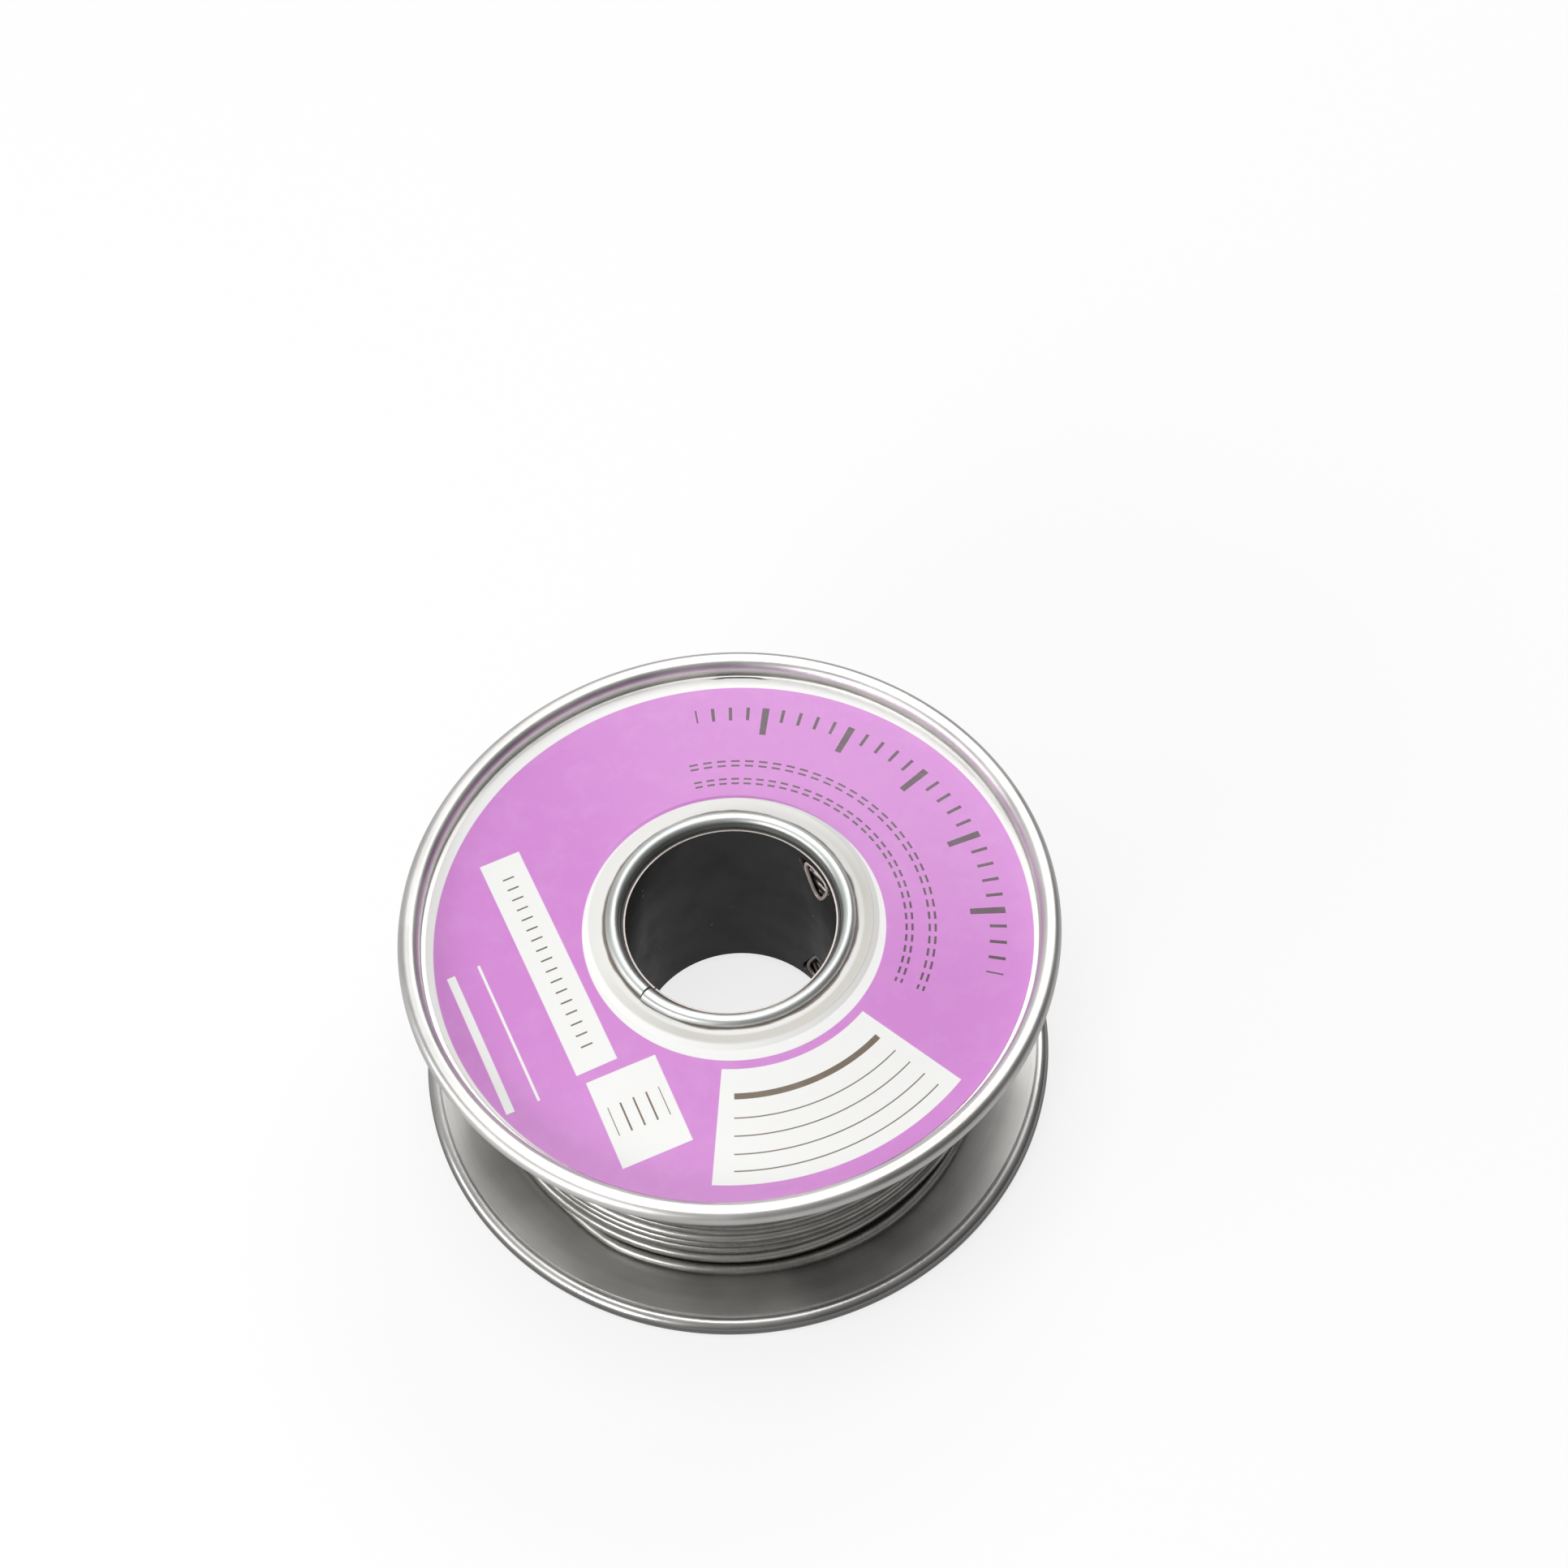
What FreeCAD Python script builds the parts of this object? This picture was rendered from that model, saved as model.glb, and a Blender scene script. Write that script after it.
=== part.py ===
import FreeCAD, Part
import math
import os

os.makedirs("parts", exist_ok=True)
V = FreeCAD.Vector

# A small reel of soft solder wire, pressed and rolled from thin tinned sheet, standing on one flange.
# Millimetres. The bore runs along +Z and the reel rests on z = 0.

# Flanges
flange_r = 25.0  # outside of the rim bead
bead_r = 0.8  # the curled rim bead
bead_pitch = 18.65  # between the centres of the two rim beads, along the axis
land = 0.04  # the bead is flattened by this much where it stands
sheet = 0.3  # thickness of the flange sheet
recess = 0.75  # the flange's face lies this far inside the centre of its bead
corner_r = 0.35  # bend between the face and the wall of the bead
curl_end = 115.0  # the curl stops this many degrees under the outermost point
dish = 0.575  # the face bulges outward by this much at the hub step
step_run = 0.5  # the hub step slopes over this width
plateau = 2.05  # width of the flat ring inside the hub step
hub_out = 0.85  # height of the hub's plateau at its edge, over the face at the rim
hub_in = 0.75  # and at the hole

# Core tube, rolled from sheet with a butt seam
bore_r = 8.0
tube_wall = 0.3
tube_over = 0.55  # the tube ends this far over the level of the face at the rim
seam_angle = 225.0
seam_gap = 0.12

# Three-cornered windows in the core tube, one near each end
window_angle = 34.0
window_in = 0.75  # from the tube's end to the window's wide side
window_deep = 3.75
window_half_wide = 2.2
window_half_tip = 0.55
window_round = 0.35

# Collars that hold the flanges on the tube's ends
collar_sheet = 0.25
collar_fit = 0.02  # between the tube and the collar's neck
collar_flare = 0.08  # the neck widens by this much toward the curl
collar_curl_r = 0.6
collar_foot = 0.95  # the foot reaches this far out from the neck, under the flange
collar_gap = 0.01  # between the curl's edge and the paper under it
hub_gap = 0.02  # between the collar's foot and the flange over it
hole_gap = 0.05  # between the collar's neck and the flange's hole

# Paper label
paper = 0.1
label_margin = 0.05  # between the label's edge and the bend of the rim
label_lap = 0.5  # between the flange's hole and the label's

# Solder wire
wire_r = 0.5
flux_r = 0.22
wire_depth = 4.53  # the outer turns lie this far inside the rim
turn_space = 0.41  # least space between one outer turn and the next
pack_gap = 0.05  # between the wire and the sheet round it
turn_gap = 0.02  # between the inner layers and the turns on them
pocket_gap = 0.12  # the pocket for the wire's first end is wider than the wire by this much
start_turn = 26.5  # degrees of the first layer's last turn that lie in the pocket
start_clear_turn = 7.0  # degrees that the pocket goes on past the wire's tip
start_rise = 1.35  # the first layer lies this far over the window's wide side

# The wire's free end, and the slot beside the rim that it goes through, a lens
slot_angle = 87.5
slot_in = 2.23  # the slot's middle lies this far inside the rim
slot_half_long = 3.25
slot_gap = 0.1  # between the wire and each long side of the slot
lead_turn = 62.0  # degrees from where the free end leaves the other turns to the slot
lead_rise = 30.0  # degrees over which it comes down on the flange
drop_turn = 10.8  # degrees over which it goes through the slot
tail_turn = 26.0  # degrees from the slot to its tip
tail_tuck = 0.4  # it lies this much nearer to the axis in the recess
tuck_turn = 10.0  # and gets there over this many degrees

# Radii that follow
bead_mid_r = flange_r - bead_r
wall_r = flange_r - 2 * bead_r
face_end_r = wall_r - corner_r
tube_r = bore_r + tube_wall
collar_neck_r = tube_r + collar_fit
collar_crown_r = collar_neck_r + collar_flare + collar_curl_r
collar_hollow = collar_curl_r - collar_sheet
neck_out_r = collar_crown_r - collar_hollow
hole_r = neck_out_r + hole_gap
step_in_r = hole_r + plateau
step_out_r = step_in_r + step_run
label_in_r = hole_r + label_lap
label_out_r = face_end_r - label_margin
pack_in_r = tube_r + pack_gap
turn_r = flange_r - wire_depth - wire_r
pack_out_r = turn_r - wire_r - turn_gap
slot_r = flange_r - slot_in

# Heights that follow
low_bead_z = bead_r - land
up_bead_z = low_bead_z + bead_pitch
mid_z = (low_bead_z + up_bead_z) / 2
face_z = up_bead_z - recess  # the upper face's metal, at the rim
top_z = up_bead_z + bead_r - land
tube_top_z = face_z + tube_over
window_low_z = 2 * mid_z - tube_top_z + window_in  # the lower window's wide side


def at(radius, degrees, z):
    a = math.radians(degrees)
    return V(radius * math.cos(a), radius * math.sin(a), z)


def over_face(radius):
    """Height of the flange's outer surface over its level at the rim."""
    if radius >= step_out_r:
        return dish * (face_end_r - radius) / (face_end_r - step_out_r)
    if radius >= step_in_r:
        return hub_out + (dish - hub_out) * (radius - step_in_r) / (step_out_r - step_in_r)
    return hub_in + (hub_out - hub_in) * (radius - hole_r) / (step_in_r - hole_r)


def ring(path, gap_at=0, gap=0):
    """Turns a closed outline of (radius, height) corners round the axis, all the way or up to a gap.

    An entry of four numbers is an arc to a corner, with a point on the arc first.
    """
    edges = []
    here = V(path[0][0], 0, path[0][1])
    for step in path[1:] + [path[0]]:
        there = V(step[-2], 0, step[-1])
        if len(step) == 4:
            edges.append(Part.Arc(here, V(step[0], 0, step[1]), there).toShape())
        elif (there - here).Length > 1e-7:
            edges.append(Part.makeLine(here, there))
        here = there
    gap_turn = math.degrees(gap / path[0][0])
    turned = Part.Face(Part.Wire(edges)).revolve(V(0, 0, 0), V(0, 0, 1), 360 - gap_turn)
    turned.rotate(V(0, 0, 0), V(0, 0, 1), gap_at + gap_turn / 2)
    return turned


def on_bead(radius, degrees):
    a = math.radians(degrees)
    return (bead_mid_r + radius * math.cos(a), up_bead_z + radius * math.sin(a))


def mirrored(shape):
    """The same piece at the reel's other end."""
    return shape.mirror(V(0, 0, mid_z), V(0, 0, 1))


def make_flange():
    diagonal = math.sqrt(0.5)
    bend_z = face_z + corner_r
    outer = [(hole_r, face_z + hub_in)]
    outer += [(r, face_z + over_face(r)) for r in (step_in_r, step_out_r, face_end_r)]
    outer += [(face_end_r + corner_r * diagonal, bend_z - corner_r * diagonal, wall_r, bend_z)]
    # the bead is flattened where the reel stands
    flat = math.degrees(math.acos(1 - land / bead_r))
    outer += [on_bead(bead_r, 180), on_bead(bead_r, 135) + on_bead(bead_r, 90 + flat)]
    outer += [on_bead(bead_r, 90 - flat), on_bead(bead_r, 0) + on_bead(bead_r, -curl_end)]
    hollow = bead_r - sheet
    inner = [on_bead(hollow, -curl_end), on_bead(hollow, 40) + on_bead(hollow, 180)]
    bend_r = corner_r + sheet
    inner += [(wall_r + sheet, bend_z)]
    inner += [(face_end_r + bend_r * diagonal, bend_z - bend_r * diagonal, face_end_r, face_z - sheet)]
    inner += [(r, face_z + over_face(r) - sheet) for r in (step_out_r, step_in_r)]
    inner += [(hole_r, face_z + hub_in - sheet)]
    flange = ring(outer + inner)
    # the slot is the part that two discs share
    slot_half_wide = wire_r + slot_gap
    disc_r = (slot_half_long**2 + slot_half_wide**2) / (2 * slot_half_wide)
    floor_z = face_z - 2 * sheet
    discs = []
    for side in (-1, 1):
        middle = at(slot_r + side * (disc_r - slot_half_wide), slot_angle, floor_z)
        discs.append(Part.makeCylinder(disc_r, corner_r + 3 * sheet, middle))
    return flange.cut(discs[0].common(discs[1]))


def make_collar():
    mid = collar_crown_r
    curl_z = face_z + over_face(mid + collar_curl_r) + paper + collar_gap
    foot_z = face_z + hub_in - sheet - hub_gap
    foot_r = neck_out_r + collar_foot
    outline = [
        (mid - collar_curl_r, curl_z),
        (mid, curl_z + collar_curl_r, mid + collar_curl_r, curl_z),
        (mid + collar_hollow, curl_z),
        (mid, curl_z + collar_hollow, neck_out_r, curl_z),
        (neck_out_r, foot_z),
        (foot_r, foot_z),
        (foot_r, foot_z - collar_sheet),
        (collar_neck_r, foot_z - collar_sheet),
        (collar_neck_r, foot_z),
    ]
    return ring(outline, seam_angle, seam_gap)


def make_label():
    radii = (label_in_r, step_in_r, step_out_r, label_out_r)
    under = [(r, face_z + over_face(r)) for r in radii]
    over = [(r, z + paper) for r, z in reversed(under)]
    return ring(under + over)


def make_window():
    """A prism the shape of one window, through the wall near the tube's upper end."""
    wide_z = tube_top_z - window_in
    tip_z = wide_z - window_deep
    near = bore_r - 1
    through_wall = tube_r + 1 - near
    corners = [
        V(near, -window_half_wide, wide_z),
        V(near, window_half_wide, wide_z),
        V(near, window_half_tip, tip_z),
        V(near, -window_half_tip, tip_z),
    ]
    block = Part.Face(Part.makePolygon(corners + corners[:1])).extrude(V(through_wall, 0, 0))
    through = [e for e in block.Edges if abs(e.tangentAt(e.FirstParameter).x) > 0.99]
    block = block.makeFillet(window_round, through)
    block.rotate(V(0, 0, 0), V(0, 0, 1), window_angle)
    return block


def make_tube():
    foot_z = 2 * mid_z - tube_top_z
    wall = [(tube_r, foot_z), (tube_r, tube_top_z), (bore_r, tube_top_z), (bore_r, foot_z)]
    tube = ring(wall, seam_angle, seam_gap)
    window = make_window()
    return tube.cut(Part.Compound([window, mirrored(window)]))


def under_flange(radius):
    """Height of the upper flange's inner surface."""
    return face_z + over_face(radius) - sheet


def make_pack():
    """The inner layers of wire, as one plain body with a pocket where the wire starts."""
    foot_z = face_z + hub_in - sheet - hub_gap - collar_sheet - pack_gap
    side_z = under_flange(pack_out_r) - pack_gap
    half = [(pack_in_r, foot_z), (step_out_r, foot_z), (pack_out_r, side_z)]
    other = [(r, 2 * mid_z - z) for r, z in reversed(half)]
    pack = ring(half + other)
    high_z = window_low_z + start_rise + wire_r + pocket_gap
    deep_r = pack_in_r + 2 * wire_r + pocket_gap
    near_r = pack_in_r - 1
    pocket = ring([(near_r, window_low_z), (deep_r, window_low_z), (deep_r, high_z), (near_r, high_z)])
    reach = 2 * flange_r
    sides = (window_angle - start_clear_turn, window_angle + start_turn + 1)
    wedge = Part.makePolygon([V(0, 0, 0)] + [at(reach, side, 0) for side in sides] + [V(0, 0, 0)])
    wedge = Part.Face(wedge).extrude(V(0, 0, top_z))
    return pack.cut(pocket.common(wedge))


def arc_from(start, along, end):
    """The circular arc that leaves start in the direction along and ends at end."""
    chord = end - start
    side = chord - along * chord.dot(along)
    side.normalize()
    radius = chord.dot(chord) / (2 * chord.dot(side))
    centre = start + side * radius
    out = (start + end) * 0.5 - centre
    out.normalize()
    return Part.Arc(start, centre + out * radius, end).toShape()


def smooth_wire(points, tangents):
    """Two arcs between each point and the next, with no corner anywhere."""
    edges = []
    for p, q, s, t in zip(points, points[1:], tangents, tangents[1:]):
        v = q - p
        both = s + t
        bend = 2 * (1 - s.dot(t))
        reach = (-v.dot(both) + math.sqrt(v.dot(both) ** 2 + bend * v.dot(v))) / bend
        joint = (p + s * reach + q - t * reach) * 0.5
        edges.append(arc_from(p, s, joint))
        edges.append(arc_from(q, t * -1, joint))
    return Part.Wire(Part.__sortEdges__(edges))


def tube_on(wire, radius, start, along):
    outline = Part.Wire(Part.makeCircle(radius, start, along))
    return wire.makePipeShell([outline], True, False)


# The outer turns run down from the upper flange to the lower one, where the free end leaves them.
turn_top_z = under_flange(turn_r) - 2 * pack_gap - wire_r
turn_low_z = 2 * mid_z - turn_top_z
leave_angle = slot_angle - lead_turn
turns = int((turn_top_z - turn_low_z) / (2 * wire_r + turn_space))
pitch = (turn_top_z - turn_low_z) / turns


def on_turns(half):
    return at(turn_r, leave_angle + 180 * (half - 2 * turns), turn_top_z - pitch * half / 2)


def turn_direction(half):
    a = math.radians(leave_angle + 180 * (half - 2 * turns))
    along = V(-turn_r * math.sin(a), turn_r * math.cos(a), -pitch / (2 * math.pi))
    along.normalize()
    return along


def make_turns():
    halves = range(2 * turns + 1)
    line = smooth_wire([on_turns(h) for h in halves], [turn_direction(h) for h in halves])
    return tube_on(line, wire_r, on_turns(0), turn_direction(0))


def eased(x):
    x = min(max(x, 0), 1)
    return x * x * (3 - 2 * x)


def free_end_at(beyond):
    """A point of the free end, so many degrees beyond the slot: out over the lower flange, down its
    slot, and on in the recess."""
    past = beyond + lead_turn
    inside_z = 2 * mid_z - under_flange(slot_r) + wire_r + 2 * pack_gap
    outside_z = 2 * mid_z - face_z - wire_r - 2 * pack_gap
    radius = turn_r + (slot_r - turn_r) * eased(past / (lead_turn - drop_turn / 2))
    radius -= tail_tuck * eased((beyond - 1) / tuck_turn)
    z = turn_low_z + (inside_z - turn_low_z) * eased(past / lead_rise)
    z += (outside_z - inside_z) * eased(beyond / drop_turn + 0.5)
    return at(radius, slot_angle + beyond, z)


def free_end_line():
    stations = [-lead_turn * part for part in (1, 0.65, 0.3)]
    stations += [drop_turn * part for part in (-0.5, -0.2, 0.2, 0.5)]
    stations += [tail_turn]
    points = [free_end_at(s) for s in stations]
    tangents = [free_end_at(s + 0.1) - free_end_at(s - 0.1) for s in stations]
    for t in tangents:
        t.normalize()
    return smooth_wire(points, [turn_direction(2 * turns)] + tangents[1:])


def make_free_end():
    """The free end, and its flux core for the last stretch up to the cut."""
    line = free_end_line()
    tip_arc = line.OrderedEdges[-1]
    start = tip_arc.valueAt(tip_arc.FirstParameter)
    flux = tube_on(Part.Wire(tip_arc), flux_r, start, tip_arc.tangentAt(tip_arc.FirstParameter))
    wire = tube_on(line, wire_r, free_end_at(-lead_turn), turn_direction(2 * turns))
    return wire.cut(flux), flux


def make_start():
    """The wire's first end comes off the first layer and bends toward the tube's end inside the window."""
    layer_r = pack_in_r + wire_r + pocket_gap / 4
    tip_r = tube_r + wire_r / 2 + 0.01
    route = [(layer_r, start_turn, 1), (layer_r, 14, 1), (layer_r - 0.02, 9.5, 0.99)]
    route += [(layer_r - 0.2, 5.5, 0.93), (tip_r + 0.01, 2.2, 0.73), (tip_r, 0.4, 0.44), (tip_r, 0, 0.15)]
    points = [at(r, window_angle + a, window_low_z + start_rise * h) for r, a, h in route]
    spline = Part.BSplineCurve()
    first = points[1] - points[0]
    first.normalize()
    spline.interpolate(Points=points, InitialTangent=first, FinalTangent=V(0, 0, -1))
    return tube_on(Part.Wire(spline.toShape()), wire_r, points[0], first)


def least_gap():
    """The least distance between the surface of the outer turns and itself, from points on its line."""
    lap = 48
    line = [at(turn_r, 360 * i / lap, -pitch * i / lap) for i in range(3 * lap)]
    near = min((p - q).Length for i, p in enumerate(line) for q in line[i + lap // 2 :])
    return near - 2 * wire_r


upper_flange = make_flange()
upper_collar = make_collar()
free_end, flux = make_free_end()
pieces = {
    "upper_flange": upper_flange,
    "lower_flange": mirrored(upper_flange),
    "core_tube": make_tube(),
    "upper_hub_collar": upper_collar,
    "lower_hub_collar": mirrored(upper_collar),
    "paper_label": make_label(),
    "solder_inner_layers": make_pack(),
    "solder_outer_turns": make_turns(),
    "solder_first_end": make_start(),
    "solder_free_end": free_end,
    "flux_core": flux,
}
print(f"least gap between the outer turns: {least_gap():.3f} mm")
for name, shape in pieces.items():
    solids = shape.Solids
    print(name, "solids", len(solids), "valid", shape.isValid(), "volume", round(shape.Volume, 1))
    shape = solids[0] if len(solids) == 1 else shape
    shape.exportStep(f"parts/{name}.step")
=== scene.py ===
import math

import bmesh
import bpy
import numpy as np
from mathutils import Matrix, Vector


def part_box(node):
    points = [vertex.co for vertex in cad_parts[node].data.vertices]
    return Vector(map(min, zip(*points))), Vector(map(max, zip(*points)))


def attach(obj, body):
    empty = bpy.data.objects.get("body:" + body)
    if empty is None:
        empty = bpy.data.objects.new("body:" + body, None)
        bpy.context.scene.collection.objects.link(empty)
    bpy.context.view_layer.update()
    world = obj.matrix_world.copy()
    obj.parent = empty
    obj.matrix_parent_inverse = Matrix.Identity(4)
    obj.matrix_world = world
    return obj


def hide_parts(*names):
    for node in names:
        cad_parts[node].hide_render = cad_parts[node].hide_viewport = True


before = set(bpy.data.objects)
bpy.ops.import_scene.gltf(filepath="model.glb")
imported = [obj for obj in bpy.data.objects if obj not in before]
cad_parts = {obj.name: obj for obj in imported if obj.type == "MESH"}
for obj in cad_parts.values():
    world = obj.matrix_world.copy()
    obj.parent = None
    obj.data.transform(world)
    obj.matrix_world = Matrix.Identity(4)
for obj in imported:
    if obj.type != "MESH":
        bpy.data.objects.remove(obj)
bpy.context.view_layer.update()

# Sizes in millimetres and angles in degrees, as in the model
MM = 0.001
rim_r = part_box("upper_flange")[1].x / MM
top_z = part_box("upper_flange")[1].z / MM
tube_top_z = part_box("core_tube")[1].z / MM
tube_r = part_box("core_tube")[1].x / MM
turn_out_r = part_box("solder_outer_turns")[1].x / MM
turn_low_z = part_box("solder_outer_turns")[0].z / MM
mid_z = top_z / 2
face_z = 18.66  # the upper flange's face at the rim
face_end_r = 23.05
dish = 0.575  # how far the face rises from there to the hub's step
step_in_r = 10.75
step_out_r = 11.25
hub_out = 0.85  # height of the hub's plateau at its edge, over the face at the rim
hub_in = 0.75  # and at the hole
hole_r = 8.7
bead_r = 0.8
land = 0.04  # the bead is flattened by this much where it stands
sheet = 0.3
paper = 0.1
wire_r = 0.5
pack_gap = 0.05  # between the wire and the sheet round it
slot_angle = 87.5
slot_half_long = 3.25
seam_angle = 225.0
window_angle = 34.0
lead_turn = 62.0  # the free end leaves the winding so far before the slot
tail_turn = 26.0  # and ends so far past it

# The photograph's camera: lengths in rim radii, from the axis at the height of the label's rim
photo_px = 1932
focal_px = 3405
principal_px = (1095, 738)
camera_tilt = 38.21
camera_roll = 0.76
camera_turn = 3.5  # round the reel's axis
camera_offset = Vector((-0.4777, 0.9812, 8.3728))
sensor_mm = 36.0


# Meshes
sharp_from = 40  # an edge with a bend of more degrees than this is drawn sharp


def mesh_piece(name, vertices, faces, material, slot):
    """A piece from vertices in millimetres, which rides on the reel's one body."""
    mesh = bpy.data.meshes.new(name)
    mesh.from_pydata([tuple(v * MM for v in p) for p in vertices], [], faces)
    mesh.validate()
    sides = bmesh.new()
    sides.from_mesh(mesh)
    bmesh.ops.recalc_face_normals(sides, faces=sides.faces)
    sides.to_mesh(mesh)
    sides.free()
    mesh.shade_smooth()
    mesh.set_sharp_from_angle(angle=math.radians(sharp_from))
    mesh.materials.append(material)
    piece = bpy.data.objects.new(name, mesh)
    bpy.context.collection.objects.link(piece)
    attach(piece, "root")
    return piece


def tube_mesh(line, radius, sides):
    """Vertices and faces of a closed round tube along a line that runs round the axis."""
    line = np.asarray(line, float)
    along = np.gradient(line, axis=0)
    along /= np.linalg.norm(along, axis=1)[:, None]
    out = line * (1, 1, 0)
    out -= along * (out * along).sum(1)[:, None]
    out /= np.linalg.norm(out, axis=1)[:, None]
    side = np.cross(along, out)
    vertices = []
    for k in range(sides):
        a = 2 * math.pi * k / sides
        vertices.append(line + radius * (math.cos(a) * out + math.sin(a) * side))
    vertices = np.stack(vertices, 1).reshape(-1, 3)
    faces = []
    for i in range(len(line) - 1):
        for k in range(sides):
            j = (k + 1) % sides
            a, b = i * sides, (i + 1) * sides
            faces.append((a + k, a + j, b + j, b + k))
    last = (len(line) - 1) * sides
    faces.append(tuple(reversed(range(sides))))
    faces.append(tuple(last + k for k in range(sides)))
    return vertices.tolist(), faces


def lathe_mesh(outline, steps):
    """A closed outline of (radius, height) turned once round the axis."""
    vertices = []
    for i in range(steps):
        a = 2 * math.pi * i / steps
        vertices += [(r * math.cos(a), r * math.sin(a), z) for r, z in outline]
    n = len(outline)
    faces = []
    for i in range(steps):
        a, b = i * n, (i + 1) % steps * n
        for k in range(n):
            j = (k + 1) % n
            faces.append((a + k, b + k, b + j, a + j))
    return vertices, faces


def arc(centre, radius, start, end, step):
    """Points of (radius, height) on an arc, from one angle to another."""
    turns = np.radians(np.linspace(start, end, round(abs(end - start) / step) + 1))
    return [(centre[0] + radius * math.cos(a), centre[1] + radius * math.sin(a)) for a in turns]


def over_face(radius):
    """Height of the flange's outer surface over its level at the rim."""
    if radius >= step_out_r:
        return max(0.0, dish * (face_end_r - radius) / (face_end_r - step_out_r))
    if radius >= step_in_r:
        return hub_out + (dish - hub_out) * (radius - step_in_r) / (step_out_r - step_in_r)
    return hub_in + (hub_out - hub_in) * (radius - hole_r) / (step_in_r - hole_r)


def under_flange(radius):
    """Height of the upper flange's inner surface."""
    return face_z + dish * (face_end_r - radius) / (face_end_r - step_out_r) - sheet


def eased(x):
    """Goes smoothly from 0 to 1 as x does, and stays level beyond."""
    x = np.clip(x, 0, 1)
    return x * x * (3 - 2 * x)


# Node materials
def new_material(name):
    material = bpy.data.materials.new(name)
    material.use_nodes = True
    tree = material.node_tree
    return material, tree, tree.nodes["Principled BSDF"]


def put(tree, socket, value):
    """Links a socket to an output, or sets it to a value."""
    if isinstance(value, bpy.types.NodeSocket):
        tree.links.new(value, socket)
    else:
        socket.default_value = value


def add(tree, kind, inputs, output=0, **settings):
    """A new node with its settings, and inputs by name or number. Returns one output."""
    node = tree.nodes.new("ShaderNode" + kind)
    for key, value in settings.items():
        setattr(node, key, value)
    for key, value in inputs.items():
        put(tree, node.inputs[key], value)
    return node.outputs[output]


def calc(tree, operation, a, b=0.0, c=0.0):
    return add(tree, "Math", {0: a, 1: b, 2: c}, operation=operation)


def plus(tree, a, b):
    return calc(tree, "ADD", a, b)


def minus(tree, a, b):
    return calc(tree, "SUBTRACT", a, b)


def times(tree, a, b):
    return calc(tree, "MULTIPLY", a, b)


def most(tree, a, b):
    return calc(tree, "MAXIMUM", a, b)


def ramp(tree, factor, low, high, a, b):
    """Goes from a to b as the factor goes from low to high."""
    span = {"From Min": low, "From Max": high, "To Min": a, "To Max": b}
    return add(tree, "MapRange", {"Value": factor, **span})


def between(tree, value, low, high, soft):
    """1 where a value lies between two limits, with soft edges."""
    up = ramp(tree, value, low - soft, low + soft, 0.0, 1.0)
    down = ramp(tree, value, high + soft, high - soft, 0.0, 1.0)
    return times(tree, up, down)


def mix(tree, factor, a, b):
    """Colour a, or b where the factor is 1."""
    node = tree.nodes.new("ShaderNodeMix")
    node.data_type = "RGBA"
    put(tree, node.inputs[0], factor)
    put(tree, node.inputs[6], a)
    put(tree, node.inputs[7], b)
    return node.outputs[2]


def split(tree, vector):
    """The x, y and z of a vector."""
    node = tree.nodes.new("ShaderNodeSeparateXYZ")
    put(tree, node.inputs[0], vector)
    return node.outputs


def dot(tree, a, b):
    return add(tree, "VectorMath", {0: a, 1: b}, output="Value", operation="DOT_PRODUCT")


def millimetres(tree):
    """Position on the object, in millimetres."""
    place = add(tree, "TexCoord", {}, output="Object")
    return add(tree, "VectorMath", {0: place, "Scale": 1 / MM}, operation="SCALE")


def radius_at(tree, x, y):
    return calc(tree, "SQRT", plus(tree, times(tree, x, x), times(tree, y, y)))


def angle_at(tree, x, y):
    """The angle round the axis, in radians."""
    return calc(tree, "ARCTAN2", y, x)


def facing_up(tree):
    """1 where the surface faces up, 0 where it is upright, -1 where it faces down."""
    return split(tree, add(tree, "NewGeometry", {}, output="Normal"))[2]


def noise(tree, place, scale, detail=3.0, rough=0.5):
    inputs = {"Vector": place, "Scale": scale, "Detail": detail, "Roughness": rough}
    return add(tree, "TexNoise", inputs)


def dots(tree, place, scale, size):
    """1 inside small round specks, thinly and unevenly spread."""
    cell = tree.nodes.new("ShaderNodeTexVoronoi")
    put(tree, cell.inputs["Vector"], place)
    put(tree, cell.inputs["Scale"], scale)
    drawn_size = tree.nodes.new("ShaderNodeSeparateColor")
    put(tree, drawn_size.inputs[0], cell.outputs["Color"])
    grown = times(tree, drawn_size.outputs[0], size)
    return calc(tree, "LESS_THAN", cell.outputs["Distance"], grown)


def bumped(tree, shader, height, distance_mm, strength):
    relief = {"Height": height, "Distance": distance_mm * MM, "Strength": strength}
    put(tree, shader.inputs["Normal"], add(tree, "Bump", relief))


def tinted(level, tint):
    return tuple(level * t for t in tint) + (1,)


dust = (0.75, 0.73, 0.7, 1)
dust_cover = 0.35
shade_level = 0.16  # the metal's level where a bead is darkened by painted shade
bead_foot = (0.55, 0.65)  # the bead begins so far out from its inner edge
upper_shade_below, lower_shade_below = 0.05, 0.97  # a bead gets painted shade where it faces up less than this
lower_gloss = 0.66  # roughness of the lower bead, as a share of the rest
streaks_across, streaks_round = 4.0, 0.8  # how fine the turned streaks are, both ways
cloud_share = 0.75  # of the shade; the streaks have the rest
darker, lighter = 0.9, 1.05  # the base level's shares where the shade is least and most
smoother, rougher = 0.88, 1.12


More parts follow.
